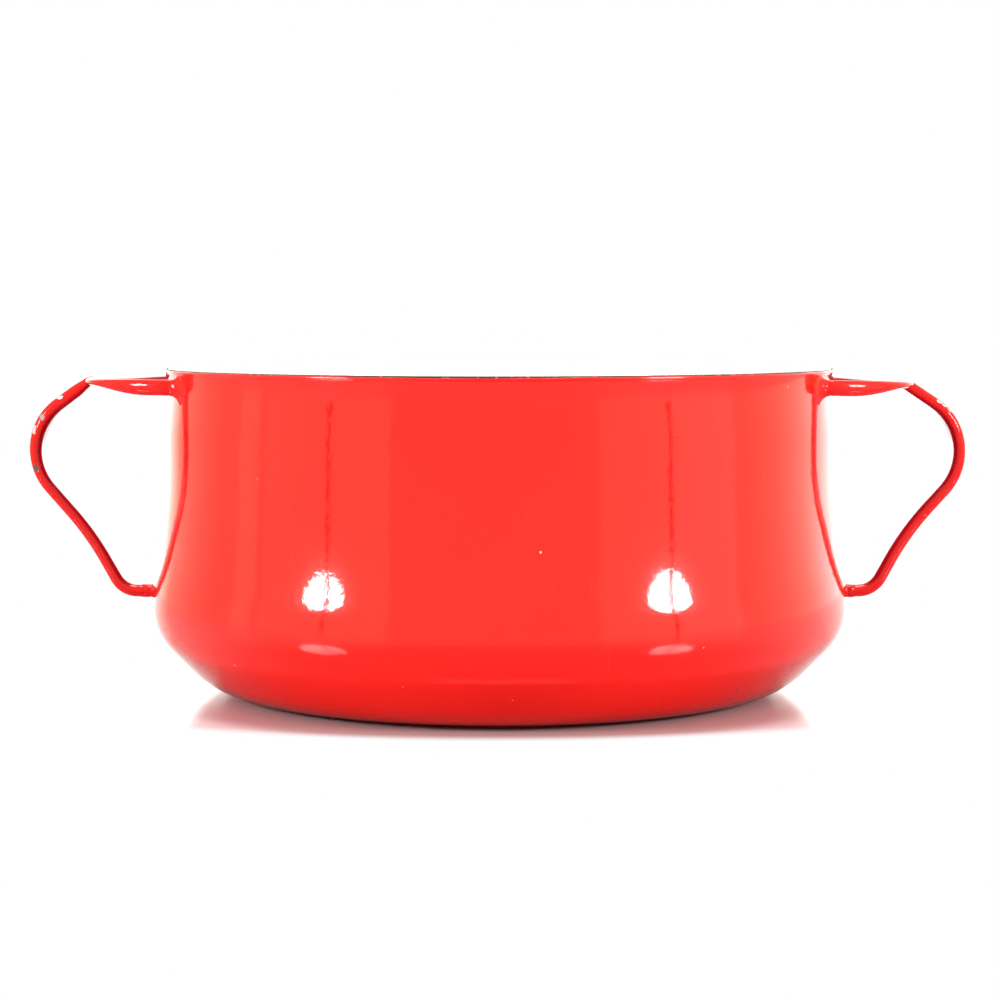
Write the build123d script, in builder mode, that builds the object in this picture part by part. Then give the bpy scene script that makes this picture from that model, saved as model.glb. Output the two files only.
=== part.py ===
from build123d import *
from math import acos, atan2, cos, degrees, pi, radians, sin, sqrt
import os

# An enamelled steel casserole with two welded handles. Millimetres, Z up, base on Z = 0.
# The handles lie along X. Front is -Y.

# Body. The rim radius drives the other radii, and the handles.
pot_height = 126.0
rim_radius = 130.4
lip_flare = 0.9
flare_radius = 60.0
waist_foot_height = 87.0
belly_swell = 6.9
belly_height = 34.0
belly_upper_radius = 52.0
belly_lower_radius = 22.0
flank_angle = 45.0
heel_radius = 29.0

# Sheet and coats
steel_thickness = 1.4
enamel_thickness = 0.35
lip_facets = 5

# Standing ring pressed into the base
ring_width = 7.8
ring_margin = 1.0
ring_depth = 0.95
ring_crest_radius = 2.6
ring_root_radius = 1.2

# Handle bow, a flattened rod in a U, which reaches out from the rim
bow_half_span = 50.0
bow_reach = 27.1
bow_below_rim = 3.4
bow_end_height = 6.0
bow_end_width = 3.0
bow_nose_height = 3.1
bow_root_sink = 1.0
bow_turn_start = 20.0
bow_turn_end = 64.0

# Handle stem, a flat bar with round edges. Its bends are placed out from the belly, and up or down from the foot.
stem_width = 12.0
stem_thickness = 4.6
stem_edge_radius = 2.1
stem_above_nose = 0.7
stem_neck_out = 2.4
stem_neck_radius = 5.0
stem_knee_out = 56.0
stem_knee_drop = 25.4
stem_knee_radius = 22.5
stem_shin_out = 24.4
stem_shin_rise = 22.5
stem_shin_radius = 110.0
stem_heel_out = 11.8
stem_heel_radius = 9.5
stem_foot_rise = 4.3
stem_butt_depth = 1.4
stem_root_gap = 0.5

# Welds
rim_weld_root = 4.8
rim_weld_reach = 7.5
rim_weld_cover = 0.35
foot_weld_margin = 1.2
foot_weld_reach = 3.4

os.makedirs("parts", exist_ok=True)


def save(solid, name):
    solid.label = name
    export_step(solid, f"parts/{name}.step")


# Wall course on the outer face of the steel, from the axis out along the base and up to the lip.
# Each step is a straight of that length, or a bend of that radius and turn. A bend to the left has
# its centre inside the pot and loses radius inward, and a bend to the right gains radius.
e = enamel_thickness
waist_radius = rim_radius - lip_flare
belly_radius = waist_radius + belly_swell
flank_lean = 90 - flank_angle
swell_turn = 2 * degrees(atan2(belly_swell, waist_foot_height - belly_height))
swell_radii = (waist_foot_height - belly_height) / sin(radians(swell_turn))
flare_turn = degrees(acos(1 - lip_flare / flare_radius))
lip_radius = steel_thickness / 2 + enamel_thickness
lip_height = pot_height - lip_radius * (1 + sin(radians(flare_turn)))
flare_foot_height = lip_height - flare_radius * sin(radians(flare_turn))
flank_top = belly_height - belly_lower_radius * sin(radians(flank_lean))
flank_bottom = ring_depth - e + heel_radius * (1 - cos(radians(flank_angle)))
flank_length = (flank_top - flank_bottom) / sin(radians(flank_angle))
flank_out = belly_radius - belly_lower_radius * (1 - cos(radians(flank_lean)))
heel_start = flank_out - flank_length * cos(radians(flank_angle)) - heel_radius * sin(radians(flank_angle))
ring_turn = degrees(acos(1 - ring_depth / (ring_crest_radius + ring_root_radius)))
ring_ramp = (ring_crest_radius + ring_root_radius) * sin(radians(ring_turn))
skirt_radius = heel_start - ring_margin
panel_radius = skirt_radius - 2 * ring_ramp - ring_width
base_course = [
    ("straight", panel_radius, 0),
    ("bend", ring_root_radius, -ring_turn),
    ("bend", ring_crest_radius, ring_turn),
    ("straight", ring_width, 0),
    ("bend", ring_crest_radius, ring_turn),
    ("bend", ring_root_radius, -ring_turn),
]
side_course = [
    ("straight", ring_margin, 0),
    ("bend", heel_radius - e, flank_angle),
    ("straight", flank_length, 0),
    ("bend", belly_lower_radius - e, flank_lean),
    ("bend", belly_upper_radius - e, swell_turn),
    ("bend", swell_radii - belly_upper_radius + e, -swell_turn),
    ("straight", flare_foot_height - waist_foot_height, 0),
    ("bend", flare_radius + e, -flare_turn),
]


def wall_edges(depth, with_base=True):
    """Edges of the wall course at a depth inside the steel's outer face, and the end point."""
    edges = []
    start = Vector(0 if with_base else skirt_radius, ring_depth + depth)
    way = Vector(1, 0)
    for kind, size, turn in (base_course if with_base else []) + side_course:
        if kind == "straight":
            end = start + way * size
            edges.append(Edge.make_line(start, end))
        else:
            side = 1 if turn > 0 else -1
            radius = size - side * depth
            centre = start + Vector(-way.Y, way.X) * side * radius
            half = (start - centre).rotate(Axis.Z, turn / 2)
            end = centre + (start - centre).rotate(Axis.Z, turn)
            edges.append(Edge.make_three_point_arc(start, centre + half, end))
            way = way.rotate(Axis.Z, turn)
        start = end
    return edges, start


def lip_angle(depth):
    """Angle round the lip, from outside to inside, at which the course of this depth meets its round."""
    return acos(max(-1, min(1, (steel_thickness / 2 - depth) / lip_radius)))


def lip_point(angle):
    """Point on the round of the lip at this angle."""
    out = Vector(cos(radians(flare_turn)), -sin(radians(flare_turn)))
    up = Vector(sin(radians(flare_turn)), cos(radians(flare_turn)))
    middle = wall_edges(steel_thickness / 2)[1]
    return middle + out * lip_radius * cos(angle) + up * lip_radius * sin(angle)


def ring_of(edges):
    """Solid of revolution round Z from closed edges drawn in radius and height."""
    with BuildPart() as turned:
        with BuildSketch(Plane.YZ):
            make_face(edges)
        revolve(axis=Axis.Z)
    return turned.part.solid()


# Steel shell
outer_edges, outer_end = wall_edges(0)
inner_edges, inner_end = wall_edges(steel_thickness)
steel_shell = ring_of(
    outer_edges
    + [Edge.make_line(outer_end, inner_end)]
    + inner_edges
    + [Edge.make_line((0, ring_depth), (0, ring_depth + steel_thickness))]
)
save(steel_shell, "steel_shell")

# Steel shell with its inside filled, the tool that trims everything fixed to the outside
filled_shell = ring_of(
    outer_edges
    + [
        Edge.make_line(outer_end, Vector(0, outer_end.Y)),
        Edge.make_line(Vector(0, outer_end.Y), Vector(0, ring_depth)),
    ]
)

# Bare ground coat on the lip, its round drawn as narrow facets
facet_turn = (lip_angle(steel_thickness) - lip_angle(0)) / lip_facets
bead_points = [lip_point(lip_angle(0) + facet_turn * i) for i in range(lip_facets + 1)]
bead_outer = bead_points[0]
bead_inner = bead_points[-1]
rim_edge = ring_of(
    [Edge.make_line(a, b) for a, b in zip(bead_points, bead_points[1:])]
    + [
        Edge.make_line(bead_inner, inner_end),
        Edge.make_line(inner_end, outer_end),
        Edge.make_line(outer_end, bead_outer),
    ]
)
save(rim_edge, "rim_edge")

# Pale coat inside
coat_edges, coat_end = wall_edges(steel_thickness + e)
coat_mid = lip_point((lip_angle(steel_thickness) + pi) / 2)
interior_enamel = ring_of(
    inner_edges
    + [
        Edge.make_line(inner_end, bead_inner),
        Edge.make_three_point_arc(bead_inner, coat_mid, coat_end),
        Edge.make_line((0, ring_depth + steel_thickness), (0, ring_depth + steel_thickness + e)),
    ]
    + coat_edges
)
save(interior_enamel, "interior_enamel")

# Red coat on the panel under the base
with BuildPart() as underside:
    with Locations((0, 0, ring_depth)):
        Cylinder(panel_radius, e, align=(Align.CENTER, Align.CENTER, Align.MAX))
    fillet(underside.edges().group_by(Axis.Z)[0], e * 0.6)
save(underside.part, "underside_enamel")

# Handle bow, right-hand side, lofted from its front end through the nose to its rear end
bow_top = pot_height - bow_below_rim
bow_nose_x = rim_radius + bow_reach
wall_chord = sqrt(waist_radius**2 - bow_half_span**2)
corner_x = wall_chord - bow_root_sink
bow_corner_radius = bow_nose_x - corner_x
corner_y = bow_half_span - bow_corner_radius
bow_area = bow_end_height * bow_end_width


def bow_station(angle):
    """Plane and half sizes of the front half of the bow at an angle round its corner."""
    share = max(0.0, min(1.0, (angle - bow_turn_start) / (bow_turn_end - bow_turn_start)))
    share = share * share * (3 - 2 * share)
    height = bow_end_height + (bow_nose_height - bow_end_height) * share
    a = radians(angle)
    origin = (corner_x + bow_corner_radius * sin(a), -corner_y - bow_corner_radius * cos(a), bow_top - height / 2)
    way = (cos(a), sin(a), 0)
    return Plane(origin, x_dir=(sin(a), -cos(a), 0), z_dir=way), bow_area / height / 2, height / 2


front_stations = [bow_station(a) for a in (-6, 6, 18, 27, 35, 43, 51, 59, 67, 78, 90)]
rear_stations = []
for plane, half_width, half_height in reversed(front_stations):
    o, z = plane.origin, plane.z_dir
    mirrored = Plane((o.X, -o.Y, o.Z), x_dir=(plane.x_dir.X, -plane.x_dir.Y, 0), z_dir=(-z.X, z.Y, 0))
    rear_stations.append((mirrored, half_width, half_height))
with BuildPart() as bow_blank:
    for plane, half_width, half_height in front_stations + rear_stations:
        with BuildSketch(plane):
            Ellipse(half_width, half_height)
    loft()
bow = bow_blank.part.solid().cut(filled_shell).solids().sort_by(SortBy.VOLUME)[-1]

# Handle stem, right-hand side
stem_top = bow_top - bow_nose_height / 2 + stem_above_nose
stem_start_x = bow_nose_x - stem_thickness
stem_foot = belly_height + stem_foot_rise
with BuildPart() as stem_blank:
    with BuildLine(Plane.XZ) as stem_way:
        FilletPolyline(
            (stem_start_x, stem_top),
            (bow_nose_x + stem_neck_out, stem_top),
            (belly_radius + stem_knee_out, bow_top - stem_knee_drop),
            (belly_radius + stem_shin_out, stem_foot + stem_shin_rise),
            (belly_radius + stem_heel_out, stem_foot),
            (belly_radius + stem_root_gap, stem_foot),
            radius=(stem_neck_radius, stem_knee_radius, stem_shin_radius, stem_heel_radius),
        )
    with BuildSketch(Plane((stem_start_x, 0, stem_top), x_dir=(0, 1, 0), z_dir=(1, 0, 0))):
        RectangleRounded(stem_width, stem_thickness, stem_edge_radius)
    sweep(path=stem_way.line)
butt_x = bow_nose_x + bow_area / bow_nose_height / 2 - stem_butt_depth
with BuildPart() as inboard:
    with Locations((butt_x, 0, stem_top)):
        Box(*[2 * stem_width] * 3, align=(Align.MAX, Align.CENTER, Align.CENTER))
stem = stem_blank.part.solid().cut(inboard.part.solid()).cut(bow_blank.part.solid())
stem = stem.solids().sort_by(SortBy.VOLUME)[-1]

# Rim weld at the front end of the right-hand bow, a flared collar
weld_angle = degrees(atan2(bow_half_span, wall_chord))
weld_z = bow_top - bow_end_height / 2
half_w = bow_end_width / 2 + rim_weld_cover
half_h = bow_end_height / 2 + rim_weld_cover
collar = [(-1.5, 1.0), (0.4, 0.82), (1.8, 0.42), (4.0, 0.12), (rim_weld_reach, 0.0)]
with BuildPart() as weld_blank:
    for reach, spread in collar:
        lean = radians(weld_angle) * spread
        with BuildSketch(
            Plane(
                (wall_chord + reach, -bow_half_span - rim_weld_root * 0.15 * spread, weld_z),
                x_dir=(sin(lean), cos(lean), 0),
                z_dir=(cos(lean), -sin(lean), 0),
            )
        ):
            Ellipse(half_w + (rim_weld_root - half_w) * spread, half_h + (rim_weld_root - half_h) * spread)
    loft()
front_weld = weld_blank.part.solid().cut(bow_blank.part.solid()).cut(filled_shell)
front_weld = front_weld.solids().sort_by(SortBy.VOLUME)[-1]
rear_weld = front_weld.mirror(Plane.XZ)

# Foot weld round the lower end of the right-hand stem, and between that end and the belly
with BuildPart() as bead_blank:
    for reach, spread in ((-6.0, 1.0), (0.6, 1.0), (foot_weld_reach * 0.55, 0.72), (foot_weld_reach, 0.12)):
        with BuildSketch(Plane.YZ.offset(belly_radius + reach)):
            with Locations((0, stem_foot)):
                margin = foot_weld_margin * spread
                RectangleRounded(stem_width + 2 * margin, stem_thickness + 2 * margin, stem_edge_radius + margin)
    loft()
foot_weld = bead_blank.part.solid().cut(stem_blank.part.solid()).cut(filled_shell)
foot_weld = foot_weld.solids().sort_by(SortBy.VOLUME)[-1]

# Right side as built, left side mirrored
for side, flip in (("right", False), ("left", True)):
    for solid, name in (
        (bow, "handle_bow"),
        (stem, "handle_stem"),
        (front_weld, "front_rim_weld"),
        (rear_weld, "rear_rim_weld"),
        (foot_weld, "foot_weld"),
    ):
        save(solid.mirror(Plane.YZ) if flip else solid.moved(Location()), f"{side}_{name}")

# Red coat outside, pierced where the welds reach the steel
skin_edges, skin_end = wall_edges(-e, with_base=False)
bare_edges, bare_end = wall_edges(0, with_base=False)
skin_mid = lip_point(lip_angle(0) / 2)
exterior_enamel = ring_of(
    skin_edges
    + [
        Edge.make_three_point_arc(skin_end, skin_mid, bead_outer),
        Edge.make_line(bead_outer, bare_end),
        Edge.make_line(bare_edges[0] @ 0, skin_edges[0] @ 0),
    ]
    + bare_edges
)
collar_blank = weld_blank.part.solid()
foot_blank = bead_blank.part.solid()
right_blanks = [collar_blank, collar_blank.mirror(Plane.XZ), foot_blank]
for blank in right_blanks + [solid.mirror(Plane.YZ) for solid in right_blanks]:
    exterior_enamel = exterior_enamel.cut(blank).solids().sort_by(SortBy.VOLUME)[-1]
save(exterior_enamel, "exterior_enamel")
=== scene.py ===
import math

import bpy
import numpy as np
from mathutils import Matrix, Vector, noise


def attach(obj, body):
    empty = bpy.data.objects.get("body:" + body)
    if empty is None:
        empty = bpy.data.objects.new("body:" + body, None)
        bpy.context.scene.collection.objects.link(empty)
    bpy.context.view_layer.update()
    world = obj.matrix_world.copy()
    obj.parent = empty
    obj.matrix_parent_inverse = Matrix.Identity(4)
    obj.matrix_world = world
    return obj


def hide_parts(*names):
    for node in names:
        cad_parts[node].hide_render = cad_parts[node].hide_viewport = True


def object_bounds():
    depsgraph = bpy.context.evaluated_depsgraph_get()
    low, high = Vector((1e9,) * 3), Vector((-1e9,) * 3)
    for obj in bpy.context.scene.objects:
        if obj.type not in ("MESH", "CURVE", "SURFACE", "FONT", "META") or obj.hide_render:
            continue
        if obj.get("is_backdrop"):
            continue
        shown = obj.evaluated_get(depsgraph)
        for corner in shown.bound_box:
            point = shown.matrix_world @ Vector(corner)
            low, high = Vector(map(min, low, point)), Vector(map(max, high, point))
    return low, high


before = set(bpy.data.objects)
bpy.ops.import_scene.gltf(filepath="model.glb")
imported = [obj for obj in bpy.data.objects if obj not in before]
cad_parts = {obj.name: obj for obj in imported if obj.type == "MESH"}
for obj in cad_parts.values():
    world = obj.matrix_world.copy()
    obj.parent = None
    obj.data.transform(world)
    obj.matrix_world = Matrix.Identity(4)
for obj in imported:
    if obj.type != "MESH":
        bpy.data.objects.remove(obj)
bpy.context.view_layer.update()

# Pressed body. One deep-drawn sheet of low-carbon steel with a slight waist, a low belly, a flared lip
# and a standing ring pressed into its base. It is bare only under the base, on and beside that ring.
mm = 0.001
pot_height, rim_radius, lip_flare, flare_radius = 126.0, 130.4, 0.9, 60.0
waist_foot_height, belly_swell, belly_height = 87.0, 6.9, 34.0
belly_upper_radius, belly_lower_radius, flank_angle, heel_radius = 52.0, 22.0, 45.0, 29.0
sheet, coat = 1.4, 0.35
ring_width, ring_margin, ring_depth, ring_crest, ring_root = 7.8, 1.0, 0.95, 2.6, 1.2

waist_radius = rim_radius - lip_flare
belly_radius = waist_radius + belly_swell
swell_turn = 2 * math.atan2(belly_swell, waist_foot_height - belly_height)
swell_radii = (waist_foot_height - belly_height) / math.sin(swell_turn)
flare_turn = math.acos(1 - lip_flare / flare_radius)
lip_radius = sheet / 2 + coat
lip_height = pot_height - lip_radius * (1 + math.sin(flare_turn))
flare_foot_height = lip_height - flare_radius * math.sin(flare_turn)
flank = math.radians(flank_angle)
flank_top = belly_height - belly_lower_radius * math.cos(flank)
flank_bottom = ring_depth - coat + heel_radius * (1 - math.cos(flank))
flank_length = (flank_top - flank_bottom) / math.sin(flank)
flank_out = belly_radius - belly_lower_radius * (1 - math.sin(flank))
heel_start = flank_out - flank_length * math.cos(flank) - heel_radius * math.sin(flank)
ring_turn = math.acos(1 - ring_depth / (ring_crest + ring_root))
skirt_radius = heel_start - ring_margin
panel_radius = skirt_radius - 2 * (ring_crest + ring_root) * math.sin(ring_turn) - ring_width
base_course = [
    (panel_radius, 0), (ring_root, -ring_turn), (ring_crest, ring_turn),
    (ring_width, 0), (ring_crest, ring_turn), (ring_root, -ring_turn),
]
side_course = [
    (ring_margin, 0), (heel_radius - coat, flank), (flank_length, 0),
    (belly_lower_radius - coat, math.pi / 2 - flank), (belly_upper_radius - coat, swell_turn),
    (swell_radii - belly_upper_radius + coat, -swell_turn),
    (flare_foot_height - waist_foot_height, 0), (flare_radius + coat, -flare_turn),
]
bend_steps = 40


def wall_line(depth, with_base, spacing=0.9, ease=1.6):
    """Radii and heights in mm along the wall, at a depth into the steel, evenly spaced and eased at bends."""
    radius, height, way = (0.0 if with_base else skirt_radius), ring_depth + depth, 0.0
    line = [(radius, height)]
    for size, turn in (base_course if with_base else []) + side_course:
        if turn == 0:
            line.append((radius + math.cos(way) * size, height + math.sin(way) * size))
        else:
            side = math.copysign(1, turn)
            bend = (size - side * depth) * side
            centre = (radius - math.sin(way) * bend, height + math.cos(way) * bend)
            for i in range(1, bend_steps + 1):
                angle = way + turn * i / bend_steps
                line.append((centre[0] + math.sin(angle) * bend, centre[1] - math.cos(angle) * bend))
            way += turn
        radius, height = line[-1]
    line = np.array(line)
    along = np.r_[0, np.cumsum(np.hypot(*np.diff(line, axis=0).T))]
    count = round(along[-1] / spacing)
    even = np.linspace(0, along[-1], count + 1)
    line = np.c_[np.interp(even, along, line[:, 0]), np.interp(even, along, line[:, 1])]
    reach = math.ceil(3 * ease / spacing)
    weights = np.exp(-0.5 * (np.arange(-reach, reach + 1) * spacing / ease) ** 2)
    weights /= weights.sum()
    before, after = 2 * line[0] - line[reach:0:-1], 2 * line[-1] - line[-2:-reach - 2:-1]
    padded = np.r_[before, line, after]
    return np.c_[np.convolve(padded[:, 0], weights, "valid"), np.convolve(padded[:, 1], weights, "valid")]


def put(tree, kind, settings=None, **inputs):
    """Adds a shader node, sets its properties, and fills or links its inputs by name, or by number as _0."""
    made = tree.nodes.new("ShaderNode" + kind)
    for name, value in (settings or {}).items():
        setattr(made, name, value)
    for name, value in inputs.items():
        number = name[1:]
        socket = made.inputs[int(number) if number.isdigit() else name.replace("_", " ")]
        if isinstance(value, bpy.types.NodeSocket):
            tree.links.new(value, socket)
        else:
            socket.default_value = value
    return made


def sums(tree, operation, *values):
    """A Math node of these values."""
    made = put(tree, "Math", {"operation": operation}, **{f"_{i}": v for i, v in enumerate(values)})
    return made.outputs[0]


def spread(tree, value, low, high, to_low=0.0, to_high=1.0):
    """A value's range from low to high, eased on to another range."""
    eased = {"interpolation_type": "SMOOTHSTEP"}
    return put(tree, "MapRange", eased, _0=value, _1=low, _2=high, _3=to_low, _4=to_high).outputs[0]


def tinted(tree, share, first, second):
    """Two colours mixed by a share."""
    return put(tree, "Mix", {"data_type": "RGBA"}, _0=share, _6=first, _7=second).outputs[2]


def new_material(name):
    """An empty node material, its tree, and its Principled shader."""
    material = bpy.data.materials.new(name)
    material.use_nodes = True
    tree = material.node_tree
    tree.nodes.clear()
    shader = put(tree, "BsdfPrincipled")
    put(tree, "OutputMaterial", Surface=shader.outputs[0])
    return material, tree, shader


dark_steel, stained_steel = (0.055, 0.05, 0.047, 1), (0.15, 0.142, 0.135, 1)
rubbed_steel = (0.44, 0.43, 0.415, 1)
rub_top, rub_foot, line_scale, line_depth = 0.00075, 0.0001, 2600, 0.00003
bare_steel, tree, shader = new_material("bare_pressed_steel")
place = put(tree, "TexCoord").outputs["Object"]
across = put(tree, "VectorMath", {"operation": "MULTIPLY"}, _0=place, _1=(1, 1, 0)).outputs[0]
from_axis = put(tree, "VectorMath", {"operation": "LENGTH"}, _0=across).outputs["Value"]
rings = {"noise_dimensions": "1D"}
turned = put(tree, "TexNoise", rings, W=from_axis, Scale=line_scale, Detail=4, Roughness=0.7).outputs[0]
stain = put(tree, "TexNoise", Vector=place, Scale=60, Detail=6, Roughness=0.62).outputs[0]
rubbed = spread(tree, put(tree, "SeparateXYZ", Vector=place).outputs["Z"], rub_top, rub_foot)
lines = sums(tree, "MULTIPLY", spread(tree, turned, 0.35, 0.7), sums(tree, "ADD", rubbed, 0.35))
dull = tinted(tree, spread(tree, stain, 0.35, 0.68), dark_steel, stained_steel)
tree.links.new(tinted(tree, lines, dull, rubbed_steel), shader.inputs["Base Color"])
tree.links.new(sums(tree, "SUBTRACT", 0.62, sums(tree, "MULTIPLY", lines, 0.3)), shader.inputs["Roughness"])
bump = put(tree, "Bump", Strength=0.6, Distance=line_depth, Height=turned)
tree.links.new(bump.outputs[0], shader.inputs["Normal"])
shader.inputs["Metallic"].default_value = 1.0
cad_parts["steel_shell"].data.materials.clear()
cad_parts["steel_shell"].data.materials.append(bare_steel)

# Shared finish of the fired coats: the colour drifts where the glaze lies thick or thin, the face has a faint
# peel and sag, and there are pin specks from the firing, hair scratches from use and smears from handling.
speck_scale, dark_speck, pale_speck = 210, (0.1, 0.008, 0.008, 1), (0.9, 0.62, 0.56, 1)
hair_stretch, hair_colour = (2600, 46, 46), (0.9, 0.5, 0.45, 1)
hair_tilts = ((0.6, 0.9, 0.5), (2.2, 0.4, 1.2))
peel_scale, peel_rise, sag_scale, sag_rise, relief = 640, 2.2, 46, 1.5, 0.00001
fired = bpy.data.node_groups.new("Fired enamel", "ShaderNodeTree")
for name, kind in (("Colour", "Color"), ("Thick colour", "Color"), ("Specks", "Float"), ("Gloss", "Float")):
    fired.interface.new_socket(name=name, in_out="INPUT", socket_type="NodeSocket" + kind)
for name, kind in (("Colour", "Color"), ("Roughness", "Float"), ("Height", "Float")):
    fired.interface.new_socket(name=name, in_out="OUTPUT", socket_type="NodeSocket" + kind)
given = fired.nodes.new("NodeGroupInput").outputs
place = put(fired, "TexCoord").outputs["Object"]
pooled = put(fired, "TexNoise", Vector=place, Scale=13, Detail=2).outputs[0]
glaze = tinted(fired, spread(fired, pooled, 0.36, 0.66), given["Colour"], given["Thick colour"])
cells = put(fired, "TexVoronoi", Vector=place, Scale=speck_scale)
drawn = put(fired, "SeparateColor", Color=cells.outputs["Color"])
chosen = sums(fired, "GREATER_THAN", drawn.outputs[0], sums(fired, "SUBTRACT", 1.0, given["Specks"]))
size = sums(fired, "MULTIPLY_ADD", drawn.outputs[2], 0.06, 0.045)
speck = sums(fired, "MULTIPLY", chosen, sums(fired, "LESS_THAN", cells.outputs["Distance"], size))
bright = sums(fired, "GREATER_THAN", drawn.outputs[1], 0.55)
speck_colour = tinted(fired, bright, dark_speck, pale_speck)
hairs = 0.0
for tilt in hair_tilts:
    drawn_out = put(fired, "Mapping", Vector=place, Rotation=tilt, Scale=hair_stretch).outputs[0]
    one_way = put(fired, "TexNoise", Vector=drawn_out, Scale=1, Detail=0).outputs[0]
    hairs = sums(fired, "MAXIMUM", hairs, one_way)
rubbed = spread(fired, put(fired, "TexNoise", Vector=place, Scale=21, Detail=1).outputs[0], 0.52, 0.66)
hairs = sums(fired, "MULTIPLY", spread(fired, hairs, 0.8, 0.86), rubbed)
peel = put(fired, "TexNoise", Vector=place, Scale=peel_scale, Detail=2).outputs[0]
sag = put(fired, "TexNoise", Vector=place, Scale=sag_scale, Detail=1).outputs[0]
height = sums(fired, "MULTIPLY_ADD", sag, sag_rise, sums(fired, "MULTIPLY", peel, peel_rise))
height = sums(fired, "SUBTRACT", height, sums(fired, "MULTIPLY_ADD", hairs, 0.2, speck))
smear = put(fired, "TexNoise", Vector=place, Scale=34, Detail=6, Roughness=0.65).outputs[0]
gloss = sums(fired, "ADD", given["Gloss"], spread(fired, smear, 0.42, 0.75, 0.0, 0.05))
glaze = tinted(fired, sums(fired, "MULTIPLY", hairs, 0.03), glaze, hair_colour)
glaze = tinted(fired, sums(fired, "MULTIPLY", speck, 0.75), glaze, speck_colour)
handed_out = fired.nodes.new("NodeGroupOutput").inputs
fired.links.new(glaze, handed_out["Colour"])
fired.links.new(sums(fired, "MULTIPLY_ADD", hairs, 0.1, gloss), handed_out["Roughness"])
fired.links.new(height, handed_out["Height"])


def enamel(name, colour, thick_colour, specks, gloss):
    """An enamel, a hazy pigmented coat under a glassy face: its material, tree, shader, finish and bump."""
    material, tree, shader = new_material(name)
    glazed = put(
        tree, "Group", {"node_tree": fired},
        Colour=colour, Thick_colour=thick_colour, Specks=specks, Gloss=gloss)
    bump = put(tree, "Bump", Strength=1.0, Distance=relief, Height=glazed.outputs["Height"])
    tree.links.new(glazed.outputs["Colour"], shader.inputs["Base Color"])
    tree.links.new(glazed.outputs["Roughness"], shader.inputs["Coat Roughness"])
    tree.links.new(bump.outputs[0], shader.inputs["Normal"])
    tree.links.new(bump.outputs[0], shader.inputs["Coat Normal"])
    shader.inputs["Roughness"].default_value = 0.16
    shader.inputs["Specular IOR Level"].default_value = 0.1
    shader.inputs["Coat Weight"].default_value = 1.0
    return material, tree, shader, glazed.outputs, bump


# Handles, one each side: a flattened rod bent to a U, and a flat bar bent from its nose down to the belly.
# They are welded to each other and to the wall, then enamelled red in one skin. Use has chipped the outer
# faces, let the rear arms sag a little, and pressed the right handle down and in.
bow_half_span, bow_nose, bow_top = 50.0, rim_radius + 27.1, pot_height - 3.4
bow_end_height, bow_nose_height, bow_area = 6.0, 3.1, 18.0
bow_turn_start, bow_turn_end, bow_sink, rear_sag = 20.0, 64.0, 1.0, 1.4
stem_foot, stem_sink, stem_width = belly_height + 4.3, 0.6, 12.0
stem_top = bow_top - bow_nose_height / 2 + 0.7
bow_sides, bow_steps, bow_overlap = 40, 60, 4.0
stem_step, stem_edge_points, stem_bend_steps = 0.8, 14, 32
skin_voxel = 0.0003
skin_eases, ease_in, ease_out, weld_eases = 8, 0.5, 0.52, 3
edge_eases, edge_percentile = 4, 97
rim_fillet, lip_fillet, foot_fillet = 4.4, 2.4, 1.0
foot_bead_out, foot_bead_half, foot_bead_rise = 1.9, 1.1, 0.22
foot_zone, lip_clear, skin_sink, wall_from = 0.07, 0.9, 0.6, 20.0
weld_lump, weld_lump_reach, weld_lump_scale = 0.3, 6.0, 420
chip_reach, chip_bed, chip_rim, chip_grain = 1.8, 0.86, 1.08, ((900, 0.3), (2300, 0.16))


def bent_route(corners, bends, spacing):
    """Points along straights joined by round bends."""
    corners = [np.array(c, float) for c in corners]
    route = [corners[0]]
    for before, corner, after, bend in zip(corners, corners[1:], corners[2:], bends):
        back, on = before - corner, after - corner
        back, on = back / np.linalg.norm(back), on / np.linalg.norm(on)
        half = math.acos(max(-1, min(1, back @ on))) / 2
        cut = bend / math.tan(half)
        middle = corner + (back + on) / np.linalg.norm(back + on) * bend / math.sin(half)
        first, last = corner + back * cut - middle, corner + on * cut - middle
        swept = math.pi - 2 * half
        side = math.copysign(1, first[0] * last[1] - first[1] * last[0])
        for i in range(stem_bend_steps + 1):
            a = side * swept * i / stem_bend_steps
            route.append(middle + np.array((first[0] * math.cos(a) - first[1] * math.sin(a),
                                            first[0] * math.sin(a) + first[1] * math.cos(a))))
    route = np.array(route + [corners[-1]])
    along = np.r_[0, np.cumsum(np.hypot(*np.diff(route, axis=0).T))]
    even = np.linspace(0, along[-1], round(along[-1] / spacing))
    return np.c_[np.interp(even, along, route[:, 0]), np.interp(even, along, route[:, 1])]


def tube(rings):
    """Vertices and faces of a closed tube through rings of points, with flat ends."""
    rings = np.array(rings)
    count, size = rings.shape[:2]
    faces = [
        (i * size + j, i * size + (j + 1) % size, (i + 1) * size + (j + 1) % size, (i + 1) * size + j)
        for i in range(count - 1) for j in range(size)
    ]
    ends = [tuple(range(size - 1, -1, -1)), tuple(range((count - 1) * size, count * size))]
    return rings.reshape(-1, 3), faces + ends


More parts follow.
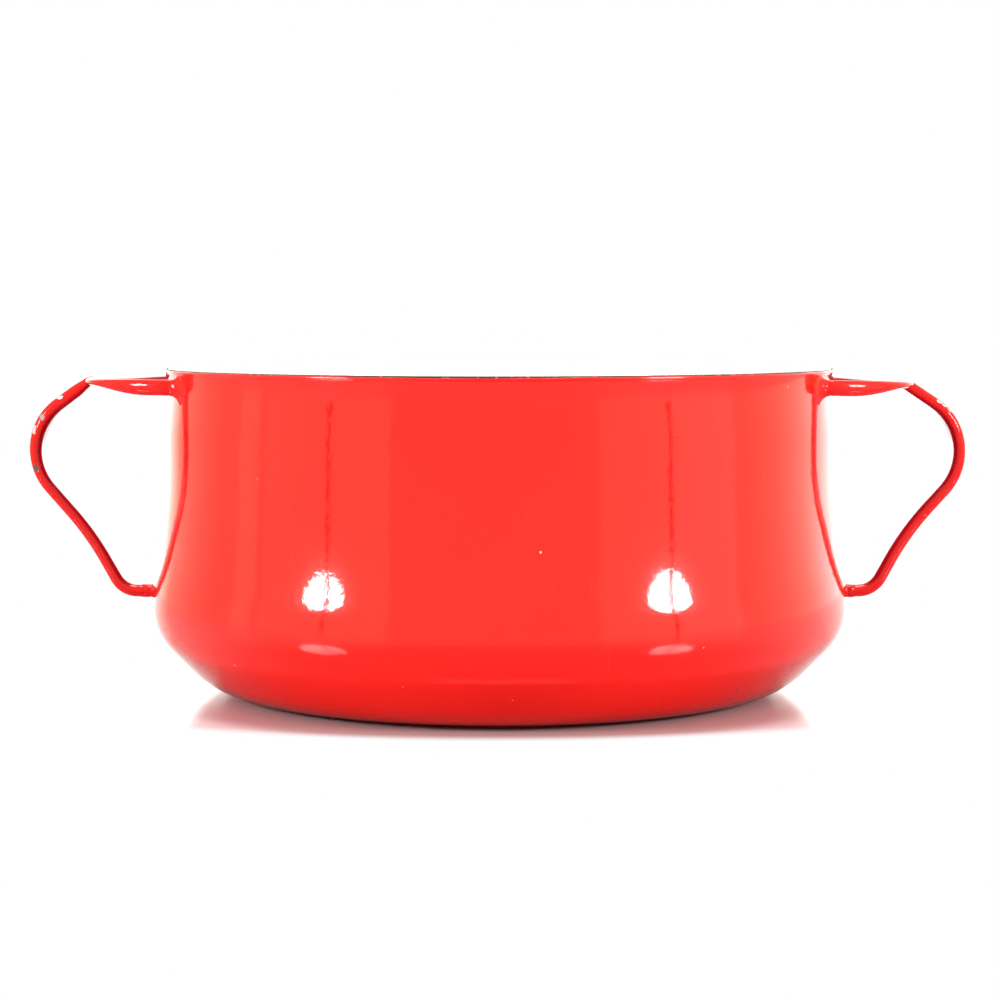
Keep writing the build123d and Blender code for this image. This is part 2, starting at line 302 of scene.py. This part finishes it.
def bow_rings(droop):
    """Oval sections of the U, from its front weld through the nose to its rear weld, with its nose bent down
    and its rear arm sagging a little."""
    corner_x = math.sqrt(waist_radius**2 - bow_half_span**2) - bow_sink
    bend = bow_nose - corner_x
    corner_y = bow_half_span - bend
    round_section = np.linspace(0, 2 * math.pi, bow_sides, endpoint=False)
    front, rear = [], []
    for angle in np.linspace(-bow_overlap, 90, bow_steps):
        share = max(0.0, min(1.0, (angle - bow_turn_start) / (bow_turn_end - bow_turn_start)))
        height = bow_end_height + (bow_nose_height - bow_end_height) * share * share * (3 - 2 * share)
        half_width = bow_area / height / 2
        a = math.radians(angle)
        out = half_width * np.cos(round_section)
        front.append(np.c_[
            corner_x + bend * math.sin(a) + out * math.sin(a),
            -corner_y - bend * math.cos(a) - out * math.cos(a),
            bow_top - droop * max(0.0, math.sin(a)) - height / 2 + height / 2 * np.sin(round_section),
        ])
        rear.append(front[-1] * (1, -1, 1) - (0, 0, rear_sag * max(0.0, math.sin(2 * a))))
    return front + rear[::-1]


def stem_corners(start, turn, outer, shin, heel):
    """The bar's corners, placed from the bow's nose and top, and then from the belly and the foot."""
    return [
        (bow_nose + start[0], stem_top + start[1]), (bow_nose + turn[0], stem_top + turn[1]),
        (belly_radius + outer[0], bow_top + outer[1]), (belly_radius + shin[0], stem_foot + shin[1]),
        (belly_radius + heel, stem_foot), (belly_radius - stem_sink, stem_foot),
    ]


def stem_rings(corners, bends, half_thickness):
    """Round-edged sections of the bar, from the nose of the bow to the belly, as thick as given by height."""
    route = bent_route(corners, bends, stem_step)
    ways = np.gradient(route, axis=0)
    ways /= np.hypot(*ways.T)[:, None]
    rear_edge = np.linspace(math.pi / 2, -math.pi / 2, stem_edge_points)
    turn = np.r_[rear_edge, rear_edge + math.pi]
    rings = []
    for (x, z), (wx, wz), half in zip(route, ways, np.interp(route[:, 1], *np.transpose(half_thickness))):
        over = half * np.sin(turn)
        edge = stem_width / 2 - half
        along = half * np.cos(turn) + np.repeat((edge, -edge), stem_edge_points)
        rings.append(np.c_[x - wz * over, -along, z + wx * over])
    return rings


def welded_skin(name, tubes):
    """One mesh over several closed tubes, in metres, with the joints between them run smooth."""
    points, faces = [], []
    for tube_points, tube_faces in tubes:
        start = sum(len(p) for p in points)
        points.append(tube_points * mm)
        faces += [tuple(start + i for i in face) for face in tube_faces]
    mesh = bpy.data.meshes.new(name)
    mesh.from_pydata(np.concatenate(points).tolist(), [], faces)
    blank = bpy.data.objects.new(name, mesh)
    bpy.context.scene.collection.objects.link(blank)
    remesh = blank.modifiers.new("skin", "REMESH")
    remesh.mode, remesh.voxel_size = "VOXEL", skin_voxel
    graph = bpy.context.evaluated_depsgraph_get()
    skin = bpy.data.meshes.new_from_object(blank.evaluated_get(graph))
    bpy.data.objects.remove(blank)
    bpy.data.meshes.remove(mesh)
    return skin


def read_points(mesh):
    """A mesh's vertices as an array."""
    points = np.empty(len(mesh.vertices) * 3, np.float32)
    mesh.vertices.foreach_get("co", points)
    return points.reshape(-1, 3).astype(float)


def write_points(mesh, points):
    """Puts a mesh's vertices at these points."""
    mesh.vertices.foreach_set("co", points.astype(np.float32).ravel())
    mesh.update()


def read_normals(mesh):
    """A mesh's vertex normals as an array."""
    normals = np.empty(len(mesh.vertices) * 3, np.float32)
    mesh.vertex_normals.foreach_get("vector", normals)
    return normals.reshape(-1, 3).astype(float)


def neighbour_mean(mesh):
    """A function that averages a value over each vertex's neighbours."""
    edges = np.empty(len(mesh.edges) * 2, np.int32)
    mesh.edges.foreach_get("vertices", edges)
    a, b = edges.reshape(-1, 2).T
    count = len(mesh.vertices)
    degree = np.bincount(np.r_[a, b], minlength=count).astype(float)

    def mean(values):
        columns = values.reshape(count, -1).T
        summed = [np.bincount(a, c[b], count) + np.bincount(b, c[a], count) for c in columns]
        return (np.array(summed) / degree).T.reshape(values.shape)

    return mean


def eased_step(values, low, high):
    """How far values are from low to high, from 0 to 1, eased at both ends."""
    share = np.clip((values - low) / (high - low), 0, 1)
    return share * share * (3 - 2 * share)


outside = wall_line(-coat, False)
upright = outside[:, 1] > wall_from
wall_heights, wall_radii = outside[upright, 1] * mm, outside[upright, 0] * mm


def run_into_wall(points, normals):
    """Draws the ends of a handle out into a hollow fillet on the wall, and lets nothing through the sheet."""
    from_axis = np.hypot(points[:, 0], points[:, 1])
    wall = np.interp(points[:, 2], wall_heights, wall_radii)
    clear = (from_axis - wall) / mm
    outward = points * (1, 1, 0) / from_axis[:, None]
    sideways = normals - outward * (normals * outward).sum(1)[:, None]
    sideways /= np.maximum(np.linalg.norm(sideways, axis=1), 1e-6)[:, None]
    low_down = points[:, 2] < foot_zone
    upper_fillet = rim_fillet - (rim_fillet - lip_fillet) * np.clip(sideways[:, 2], 0, 1)
    reach = np.where(low_down, foot_fillet, upper_fillet)
    depth = np.clip(1 - clear / reach, 0, 1)
    points = points + sideways * (reach * (1 - np.sqrt(np.maximum(0, 1 - depth**2))) * mm)[:, None]
    bead = np.exp(-(((clear - foot_bead_out) / foot_bead_half) ** 2)) * low_down
    points += sideways * (bead * foot_bead_rise * mm)[:, None]
    points[:, 2] = np.minimum(points[:, 2], (pot_height - lip_clear) * mm)
    from_axis = np.hypot(points[:, 0], points[:, 1])
    sunk = np.interp(points[:, 2], wall_heights, wall_radii) - coat * skin_sink * mm
    points[:, :2] *= np.maximum(1, sunk / from_axis)[:, None]
    return points


def make_handle(name, side, droop, corners, bends, half_thickness, chips):
    """A handle skin with its welds and chips worked in, which carries its chips and thin glaze as values.
    Each chip has a centre, a reach and a depth in mm, and a tone from bare and dark at 0 to pale at 1; the
    palest tones are partly painted highlight."""
    mesh = welded_skin(name, [tube(bow_rings(droop)), tube(stem_rings(corners, bends, half_thickness))])
    mean = neighbour_mean(mesh)
    points = read_points(mesh)
    for _ in range(skin_eases):
        points += ease_in * (mean(points) - points)
        points -= ease_out * (mean(points) - points)
    write_points(mesh, points)
    points = run_into_wall(points, read_normals(mesh))
    if side < 0:
        points[:, 0] *= -1
        mesh.flip_normals()
    write_points(mesh, points)
    for _ in range(weld_eases):
        points += ease_in * (mean(points) - points)
    write_points(mesh, points)
    normals = read_normals(mesh)
    clear = (np.hypot(points[:, 0], points[:, 1]) - np.interp(points[:, 2], wall_heights, wall_radii)) / mm
    for i in np.nonzero(clear < weld_lump_reach)[0]:
        fade = math.sin(math.pi * max(0.0, min(1.0, clear[i] / weld_lump_reach)))
        points[i] += normals[i] * noise.noise(Vector(points[i] * weld_lump_scale)) * weld_lump * fade * mm
    bulge = ((mean(points) - points) * -normals).sum(1)
    for _ in range(edge_eases):
        bulge = mean(bulge)
    edge = np.clip(bulge / np.percentile(bulge, edge_percentile), 0, 1)
    chipped, pale = np.zeros(len(points)), np.zeros(len(points))
    for centre, size, depth, tone in chips:
        far = np.linalg.norm((points - np.array(centre) * mm) / (np.array(size) * mm), axis=1)
        for i in np.nonzero(far < chip_reach)[0]:
            ragged = sum(noise.noise(Vector(points[i] * grain)) * amount for grain, amount in chip_grain)
            share = eased_step(-(far[i] + ragged), -chip_rim, -chip_bed)
            if share > chipped[i]:
                chipped[i], pale[i] = share, tone
                points[i] -= normals[i] * share * depth * mm
    write_points(mesh, points)
    for key, values in (("edge", edge), ("chipped", chipped), ("pale", pale)):
        mesh.attributes.new(key, "FLOAT", "POINT").data.foreach_set("value", values.astype(np.float32))
    mesh.shade_smooth()
    handle = bpy.data.objects.new(name, mesh)
    bpy.context.scene.collection.objects.link(handle)
    return handle


left_handle = make_handle(
    "left_handle", -1, 0.0,
    corners=stem_corners(
        start=(0.6, -0.5), turn=(2.4, -0.5), outer=(56.0, -25.4), shin=(24.4, 22.5), heel=11.8),
    bends=[5.0, 22.5, 110.0, 9.5],
    half_thickness=[(36, 2.5), (46, 2.3), (75, 2.25), (90, 2.35), (106, 2.65), (117, 2.5), (121.5, 1.6)],
    chips=[
        ((-179.0, -5.7, 106.8), (1.0, 1.6, 1.4), 0.28, 0.45),
        ((-181.6, -5.6, 86.5), (1.2, 1.6, 1.6), 0.32, 0.05),
        # These two chips are real, and their pale tone is partly painted highlight on the outer edge.
        ((-172.6, -5.2, 114.6), (1.7, 1.6, 0.9), 0.2, 0.95),
        ((-182.4, -5.0, 102.2), (0.9, 1.8, 2.1), 0.22, 0.8),
        ((-166.2, 3.4, 118.8), (1.2, 2.0, 1.0), 0.2, 0.1),
        ((-183.6, 2.6, 94.0), (1.0, 1.4, 2.4), 0.25, 0.15),
    ],
)
right_handle = make_handle(
    "right_handle", 1, 1.0,
    corners=stem_corners(
        start=(0.2, -1.9), turn=(1.8, -2.2), outer=(55.9, -25.1), shin=(23.3, 23.1), heel=10.8),
    bends=[4.0, 22.8, 110.0, 10.0],
    half_thickness=[(36, 2.5), (46, 2.45), (90, 2.4), (106, 2.35), (123, 2.2)],
    chips=[
        # These three chips are real, and their near-white tone is partly painted highlight on the outer edge.
        ((172.8, -4.8, 113.3), (1.6, 2.4, 1.3), 0.5, 1.0),
        ((175.0, -4.8, 111.9), (1.7, 2.4, 1.3), 0.6, 1.0),
        ((177.0, -4.9, 110.1), (1.5, 2.4, 1.3), 0.5, 0.95),
        ((182.6, 2.5, 97.0), (1.0, 1.3, 2.0), 0.25, 0.1),
        ((168.0, 3.8, 115.4), (1.5, 1.4, 1.1), 0.22, 0.2),
    ],
)

# The second red is painted shade: a darker crimson for the handle faces turned in towards the pot.
thin_red, inner_shade_red, inner_shade_from, inner_shade_full = (0.5, 0.004, 0.006, 1), (0.33, 0.002, 0.011, 1), 0.1, -0.6
dark_scar_tones, highlight_and_pale_scar_tones = (
    ((0.03, 0.026, 0.022, 1), (0.16, 0.13, 0.105, 1)), ((0.72, 0.6, 0.54, 1), (0.95, 0.9, 0.87, 1)))
handle_red, tree, shader, glazed, bump = enamel(
    "handle_red_enamel", (0.8, 0.003, 0.003, 1), (0.72, 0.003, 0.003, 1), specks=0.04, gloss=0.035)
place = put(tree, "TexCoord").outputs["Object"]
edge, chipped, pale = (
    put(tree, "Attribute", {"attribute_name": key}).outputs["Fac"] for key in ("edge", "chipped", "pale"))
grit = put(tree, "TexNoise", Vector=place, Scale=1500, Detail=4, Roughness=0.7).outputs[0]
patchy = put(tree, "TexNoise", Vector=place, Scale=120, Detail=3).outputs[0]
thin = sums(tree, "MULTIPLY", spread(tree, edge, 0.45, 1.0), spread(tree, patchy, 0.4, 0.7, 0.1, 0.5))
red = tinted(tree, thin, glazed["Colour"], thin_red)
across = put(tree, "VectorMath", {"operation": "MULTIPLY"}, _0=place, _1=(1, 1, 0)).outputs[0]
outward = put(tree, "VectorMath", {"operation": "NORMALIZE"}, _0=across).outputs[0]
face = put(tree, "NewGeometry").outputs["Normal"]
facing_out = put(tree, "VectorMath", {"operation": "DOT_PRODUCT"}, _0=face, _1=outward).outputs["Value"]
# Painted shade: faces turned in towards the pot are mixed to the darker crimson.
red = tinted(tree, spread(tree, facing_out, inner_shade_from, inner_shade_full), red, inner_shade_red)
# The pale scar tones are partly painted highlight: near-white where the gloss of the outer edge burns out.
scar = tinted(tree, pale, tinted(tree, grit, *dark_scar_tones), tinted(tree, grit, *highlight_and_pale_scar_tones))
tree.links.new(tinted(tree, chipped, red, scar), shader.inputs["Base Color"])
tree.links.new(put(tree, "Mix", _0=chipped, _2=0.16, _3=0.6).outputs[0], shader.inputs["Roughness"])
tree.links.new(put(tree, "Mix", _0=chipped, _2=0.6, _3=0.0).outputs[0], shader.inputs["Coat Weight"])
rough = sums(tree, "MULTIPLY", sums(tree, "MULTIPLY", chipped, grit), 8.0)
tree.links.new(sums(tree, "ADD", glazed["Height"], rough), bump.inputs["Height"])
for handle, side in ((left_handle, "left"), (right_handle, "right")):
    handle.data.materials.append(handle_red)
    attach(handle, "root")
    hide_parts(*(f"{side}_{n}" for n in (
        "handle_bow", "handle_stem", "front_rim_weld", "rear_rim_weld", "foot_weld")))

# Red coat outside. Opaque vitreous enamel sprayed and fired over the ground coat, from the skirt of the base
# up over the lip. It follows the pressing, which waves slightly and is a little fuller beside the handles,
# and it stops unevenly short of the crest of the lip, most of all at the front.
turns, back_spacing, back_gap = 384, 2.6, 0.02
red_stop_angle, bare_dip, bare_bearing, bare_width = math.radians(50), math.radians(26), -0.08, 0.22
red_set_back, lip_rows, lip_start, edge_rounding = 0.06, 9, 0.12, 0.05
fuller, fuller_from, fuller_to, fuller_until, fuller_end = 1.2, 44.0, 72.0, 98.0, 116.0
theta = np.linspace(0, 2 * math.pi, turns, endpoint=False)
lip_middle = wall_line(sheet / 2, False)[-1]
lip_out = np.array((math.cos(flare_turn), -math.sin(flare_turn)))
lip_up = np.array((math.sin(flare_turn), math.cos(flare_turn)))


def lip_point(angle, radius):
    """Points round the lip, for an angle and a radius at each turn."""
    angle, radius = np.broadcast_to(angle, turns), np.broadcast_to(radius, turns)
    out, up = np.cos(angle) * radius, np.sin(angle) * radius
    return lip_middle + out[:, None] * lip_out + up[:, None] * lip_up


def ring_wave(seed, lobes, amount):
    """A wavering value round the pot, of mean zero."""
    draw = np.random.default_rng(seed)
    wave = np.zeros(turns)
    for lobe in lobes:
        wave += np.cos(lobe * theta + draw.uniform(0, 2 * math.pi)) * draw.uniform(0.4, 1.0)
    return amount * wave / np.abs(wave).max()


def lathe(name, rows, axis_heights=()):
    """A closed mesh from rows of radius and height in mm, with a pair for every turn. Its first and last rows
    are joined to each other or, where two heights on the axis are given, closed at those."""
    rows = np.array([np.broadcast_to(row, (turns, 2)) for row in rows])
    radii, heights = rows[..., 0], rows[..., 1]
    points = np.stack([radii * np.cos(theta), radii * np.sin(theta), heights], -1).reshape(-1, 3)
    count, after = len(rows), np.roll(np.arange(turns), -1)
    faces = [
        (i * turns + j, i * turns + k, (i + 1) % count * turns + k, (i + 1) % count * turns + j)
        for i in range(count - bool(axis_heights)) for j, k in enumerate(after)
    ]
    if axis_heights:
        last, pole = (count - 1) * turns, count * turns
        points = np.r_[points, [(0, 0, height) for height in axis_heights]]
        faces += [(pole, k, j) for j, k in enumerate(after)]
        faces += [(pole + 1, last + j, last + k) for j, k in enumerate(after)]
    mesh = bpy.data.meshes.new(name)
    mesh.from_pydata((points * mm).tolist(), [], faces)
    mesh.shade_smooth()
    made = bpy.data.objects.new(name, mesh)
    bpy.context.scene.collection.objects.link(made)
    return made


front = np.exp(-((np.angle(np.exp(1j * (theta + math.pi / 2 - bare_bearing))) / bare_width) ** 2))
red_stop = red_stop_angle - bare_dip * front + ring_wave(4, (3, 5, 9, 14, 23, 37), math.radians(7))
sway = ring_wave(1, (2, 3, 5), 0.05)
outer_rows = []
for radius, level in outside:
    rise = eased_step(level, fuller_from, fuller_to) - eased_step(level, fuller_until, fuller_end)
    out = radius - red_set_back + sway + fuller * rise * np.cos(theta) ** 2
    outer_rows.append(np.c_[out, np.full(turns, level)])
for share in np.linspace(lip_start, 1, lip_rows):
    drawn_in = edge_rounding * eased_step(np.array(share), 0.75, 1.0)
    outer_rows.append(lip_point(red_stop * share, lip_radius - drawn_in))
under = wall_line(0.0, False, back_spacing)[::-1] + (back_gap, 0)
red_coat = lathe("red_coat", outer_rows + list(under))
red_coat.data.materials.append(enamel(
    "body_red_enamel", (0.93, 0.0065, 0.002, 1), (0.87, 0.005, 0.002, 1), specks=0.06, gloss=0.025)[0])
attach(red_coat, "root")
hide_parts("exterior_enamel")

# Pale coat inside. White enamel fired over the ground coat from the middle of the base to the lip. Painted
# shade greys it towards its floor, down into the pot, where spoons and scouring have left dull marks.
pale_stop_angle, pale_lip_rows, pale_lip_end = math.radians(121), 8, 0.9
white_top, white_foot, mark_top, mark_foot = 0.115, 0.03, 0.03, 0.004
shade_grey, mark_grey = (0.6, 0.585, 0.545, 1), (0.34, 0.32, 0.29, 1)
pale_stop = pale_stop_angle + ring_wave(9, (3, 7, 11, 19), math.radians(6))
inside = wall_line(sheet + coat, True)
against = wall_line(sheet, True, back_spacing)
round_lip = [
    lip_point(pale_stop + (math.pi - pale_stop) * share, lip_radius)
    for share in np.linspace(0, pale_lip_end, pale_lip_rows)
]
pale_coat = lathe(
    "pale_coat", list(against[1:] - (back_gap, 0)) + round_lip + list(inside[:0:-1]),
    axis_heights=(against[0][1], inside[0][1]),
)
cream, tree, shader, glazed, _ = enamel(
    "pale_enamel", (0.93, 0.925, 0.9, 1), (0.9, 0.89, 0.86, 1), specks=0.02, gloss=0.04)
place = put(tree, "TexCoord").outputs["Object"]
along_strokes = put(tree, "Mapping", Vector=place, Rotation=(0, 0, 0.7), Scale=(30, 900, 60)).outputs[0]
scour = put(tree, "TexNoise", Vector=along_strokes, Scale=1, Detail=3).outputs[0]
level = put(tree, "SeparateXYZ", Vector=place).outputs["Z"]
low = spread(tree, level, mark_top, mark_foot)
cloudy = put(tree, "TexNoise", Vector=place, Scale=26, Detail=4).outputs[0]
# Painted shade: the white greys with falling height towards the floor of the pot.
shade_share = spread(tree, sums(tree, "MULTIPLY_ADD", cloudy, 0.02, level), white_top, white_foot)
shaded_white = tinted(tree, shade_share, glazed["Colour"], shade_grey)
marks = sums(tree, "MULTIPLY", sums(tree, "MULTIPLY", spread(tree, scour, 0.6, 0.72), low), 0.35)
tree.links.new(tinted(tree, marks, shaded_white, mark_grey), shader.inputs["Base Color"])
tree.links.new(sums(tree, "MULTIPLY_ADD", marks, 0.6, glazed["Roughness"]), shader.inputs["Coat Roughness"])
pale_coat.data.materials.append(cream)
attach(pale_coat, "root")
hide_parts("interior_enamel")

# Lip line. The dark ground coat left showing along the crest of the lip between the red and the pale coats,
# because the cover coats draw back from the cut edge of the sheet in the fire.
crest_height, crest_sink, crest_steps, crest_overlap = 0.045, 0.075, 11, 0.1
crest_root, root_inner, root_outer = 0.5, math.radians(150), math.radians(30)
crest_rows = [
    lip_point(
        red_stop - crest_overlap + (pale_stop - red_stop + 2 * crest_overlap) * share,
        lip_radius - crest_sink + crest_height * math.sin(math.pi * share),
    )
    for share in np.linspace(0, 1, crest_steps)
] + [lip_point(root_inner, crest_root), lip_point(root_outer, crest_root)]
lip_line = lathe("lip_line", crest_rows)
spattered_red = (0.66, 0.06, 0.05, 1)
ground, tree, shader, glazed, _ = enamel(
    "ground_coat", (0.018, 0.016, 0.018, 1), (0.034, 0.022, 0.02, 1), specks=0.04, gloss=0.2)
place = put(tree, "TexCoord").outputs["Object"]
crawled = put(tree, "TexNoise", Vector=place, Scale=520, Detail=2).outputs[0]
covered = spread(tree, crawled, 0.56, 0.64)
tree.links.new(tinted(tree, covered, glazed["Colour"], spattered_red), shader.inputs["Base Color"])
shader.inputs["Coat Weight"].default_value = 0.05
shader.inputs["Roughness"].default_value = 0.5
lip_line.data.materials.append(ground)
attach(lip_line, "root")
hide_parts("rim_edge")

# Red coat under the base. The same vitreous enamel, fired on to the raised panel inside the standing ring.
# Hot plates have dulled it and left soot.
soot_colour = (0.05, 0.02, 0.016, 1)
scorched, tree, shader, glazed, _ = enamel(
    "base_red_enamel", (0.62, 0.012, 0.008, 1), (0.4, 0.01, 0.008, 1), specks=0.08, gloss=0.16)
place = put(tree, "TexCoord").outputs["Object"]
soot = put(tree, "TexNoise", Vector=place, Scale=24, Detail=8, Roughness=0.7).outputs[0]
sooty = spread(tree, soot, 0.5, 0.78, 0.0, 0.8)
tree.links.new(tinted(tree, sooty, glazed["Colour"], soot_colour), shader.inputs["Base Color"])
tree.links.new(sums(tree, "MULTIPLY_ADD", soot, 0.3, glazed["Roughness"]), shader.inputs["Coat Roughness"])
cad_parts["underside_enamel"].data.materials.clear()
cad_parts["underside_enamel"].data.materials.append(scorched)

# Table top. A plain round white board with a polished face, large enough that its edge stays out of the way.
# It is lit to pure white, apart from the shadow and the reflection close to the pot.
board_radius, board_sides = 0.85, 160
glare_centre, glare_start, glare_full = (0, 0.153, 0), 0.270, 0.284
open_start, open_full = 0.142, 0.168
shade_centre, shade_start, shade_end = (0, -0.2, 0), 0.1, 0.27
board_tone, shade_tone, open_tone = 0.76, 0.2, 0.46
board_turns = np.linspace(0, 2 * math.pi, board_sides, endpoint=False)
mesh = bpy.data.meshes.new("table_top")
board_edge = [(board_radius * math.cos(t), board_radius * math.sin(t), 0) for t in board_turns]
mesh.from_pydata(board_edge, [], [range(board_sides)])
table_top = bpy.data.objects.new("table_top", mesh)
bpy.context.scene.collection.objects.link(table_top)
white, tree, shader = new_material("white_table")
shader.inputs["Roughness"].default_value = 0.11
shader.inputs["Specular IOR Level"].default_value = 0.3
place = put(tree, "TexCoord").outputs["Object"]
from_axis = put(tree, "VectorMath", {"operation": "LENGTH"}, _0=place).outputs["Value"]
path = put(tree, "LightPath").outputs
# Painted shade: to glossy rays the board is given a darker tone, darkest close before the front of the pot.
from_front = put(tree, "VectorMath", {"operation": "DISTANCE"}, _0=place, _1=shade_centre).outputs["Value"]
in_gloss = spread(tree, from_front, shade_start, shade_end, shade_tone, open_tone)
tone = put(tree, "Mix", _0=path["Is Glossy Ray"], _2=board_tone, _3=in_gloss).outputs[0]
tree.links.new(tone, shader.inputs["Base Color"])
from_glare = put(tree, "VectorMath", {"operation": "DISTANCE"}, _0=place, _1=glare_centre).outputs["Value"]
in_glare = spread(tree, from_glare, glare_start, glare_full)
bleached = sums(tree, "MAXIMUM", in_glare, spread(tree, from_axis, open_start, open_full))
seen = sums(tree, "MULTIPLY", path["Is Camera Ray"], bleached)
glow = put(tree, "Emission", Color=(1, 1, 1, 1), Strength=1.0)
lit = put(tree, "MixShader", _0=seen, _1=shader.outputs[0], _2=glow.outputs[0])
tree.links.new(lit.outputs[0], next(n for n in tree.nodes if n.type == "OUTPUT_MATERIAL").inputs["Surface"])
table_top.data.materials.append(white)
table_top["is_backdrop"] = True

# Studio. A white room, seen in the gloss as tall panels at bearings from the front, brightest behind the pot
# and dimmer before it. A wide soft light hangs overhead, and there is a lamp at each front corner, with a
# thin dark stand that shows only in the gloss.
panels = [
    (-180, 3.4), (-162, 2.9), (-154, 1.9), (-143, 1.25), (-138, 0.72), (-105, 0.66), (-97, 0.8), (-95, 1.12),
    (-87, 1.15), (-86, 0.78), (-84.6, 0.78), (-83.6, 1.04), (-45, 1.1), (-43, 1.15), (-36.6, 1.15),
    (-35.4, 0.79), (31.5, 0.83), (33.5, 1.19), (56, 1.26), (61, 1.38), (83, 1.36), (85.5, 0.98),
    (105, 1.1), (114, 1.25), (121, 1.3), (132, 1.55), (142, 1.7), (154, 1.9), (162, 2.9), (180, 3.4),
]
white_from, white_span, white_share = 1.2, 0.5, 0.75
panel_tint, room_level = (1.0, 0.98, 0.74), 0.55
room = bpy.data.worlds.new("white_room")
bpy.context.scene.world = room
room.use_nodes = True
tree = room.node_tree
tree.nodes.clear()
way = put(tree, "SeparateXYZ", Vector=put(tree, "TexCoord").outputs["Generated"]).outputs
heading = sums(tree, "ARCTAN2", way["X"], sums(tree, "MULTIPLY", way["Y"], -1.0))
ramp = put(tree, "ValToRGB", Fac=sums(tree, "MULTIPLY_ADD", heading, 0.5 / math.pi, 0.5))
stops = ramp.color_ramp.elements
while len(stops) < len(panels):
    stops.new(0.5)
for stop, (degrees, _) in zip(stops, panels):
    stop.position = (degrees + 180) / 360
for stop, (_, level) in zip(stops, panels):
    whiter = white_share * min(1.0, max(0.0, level - white_from) / white_span)
    stop.color = (*(level * (t + (1 - t) * whiter) for t in panel_tint), 1)
path = put(tree, "LightPath").outputs
soft = tinted(tree, path["Is Glossy Ray"], (room_level, room_level, room_level, 1), ramp.outputs[0])
shown = tinted(tree, path["Is Camera Ray"], soft, (1, 1, 1, 1))
put(tree, "OutputWorld", Surface=put(tree, "Background", Color=shown, Strength=1.0).outputs[0])


def hang_light(name, shape, sizes, energy, place, towards):
    """An area lamp at a place, facing another."""
    lamp = bpy.data.lights.new(name, "AREA")
    lamp.shape, lamp.energy = shape, energy
    lamp.size, lamp.size_y = sizes
    hung = bpy.data.objects.new(name, lamp)
    hung.location = place
    hung.rotation_euler = (place - towards).to_track_quat("Z", "Y").to_euler()
    bpy.context.scene.collection.objects.link(hung)


overhead_place, overhead_sizes, overhead_energy = Vector((0, -0.15, 1.15)), (0.6, 0.6), 10.0
lamp_sizes, lamp_energy, lamp_distance = (0.34, 0.3), 8.0, 1.2
aim_side, aim_front, aim_height = 0.06, -0.119, 0.052
stand_radius, stand_top, stand_sides, stand_distance = 0.012, 0.95, 12, 1.1
dark, tree, shader = new_material("dark_stand")
shader.inputs["Base Color"].default_value = (0.03, 0.03, 0.03, 1)
hang_light("overhead_light", "RECTANGLE", overhead_sizes, overhead_energy, overhead_place, Vector((0, 0, 0)))
for name, bearing, stand_bearing, rise in (("left", -60.3, -58.0, 19.0), ("right", 58.0, 58.0, 18.6)):
    aim = Vector((math.copysign(aim_side, bearing), aim_front, aim_height))
    turn, stand_turn, rise = math.radians(bearing), math.radians(stand_bearing), math.radians(rise)
    away = Vector((math.sin(turn) * math.cos(rise), -math.cos(turn) * math.cos(rise), math.sin(rise)))
    hang_light(f"{name}_lamp", "ELLIPSE", lamp_sizes, lamp_energy, aim + lamp_distance * away, aim)
    foot = aim + stand_distance * Vector((math.sin(stand_turn), -math.cos(stand_turn), 0))
    ring = [
        (foot.x + stand_radius * math.cos(t), foot.y + stand_radius * math.sin(t))
        for t in np.linspace(0, 2 * math.pi, stand_sides, endpoint=False)
    ]
    mesh = bpy.data.meshes.new(f"{name}_stand")
    around = [(i, (i + 1) % stand_sides) for i in range(stand_sides)]
    mesh.from_pydata(
        [(x, y, z) for z in (0, stand_top) for x, y in ring], [],
        [(i, k, stand_sides + k, stand_sides + i) for i, k in around],
    )
    mesh.materials.append(dark)
    stand = bpy.data.objects.new(f"{name}_stand", mesh)
    stand.visible_camera = stand.visible_shadow = False
    bpy.context.scene.collection.objects.link(stand)
    stand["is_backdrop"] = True

# Camera. A long lens about a metre away, square to the front and just above the rim. It looks slightly down,
# and takes in both handles.
camera_place, camera_tilt = (0.0002, -0.985, 0.149), 4.37
lens = bpy.data.cameras.new("camera")
lens.sensor_width, lens.lens = 36.0, 90.14
viewpoint = bpy.data.objects.new("camera", lens)
viewpoint.location = camera_place
viewpoint.rotation_euler = (math.radians(90 - camera_tilt), 0, 0)
bpy.context.scene.collection.objects.link(viewpoint)
bpy.context.scene.camera = viewpoint
bpy.context.scene.view_settings.view_transform = "Standard"

low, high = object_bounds()
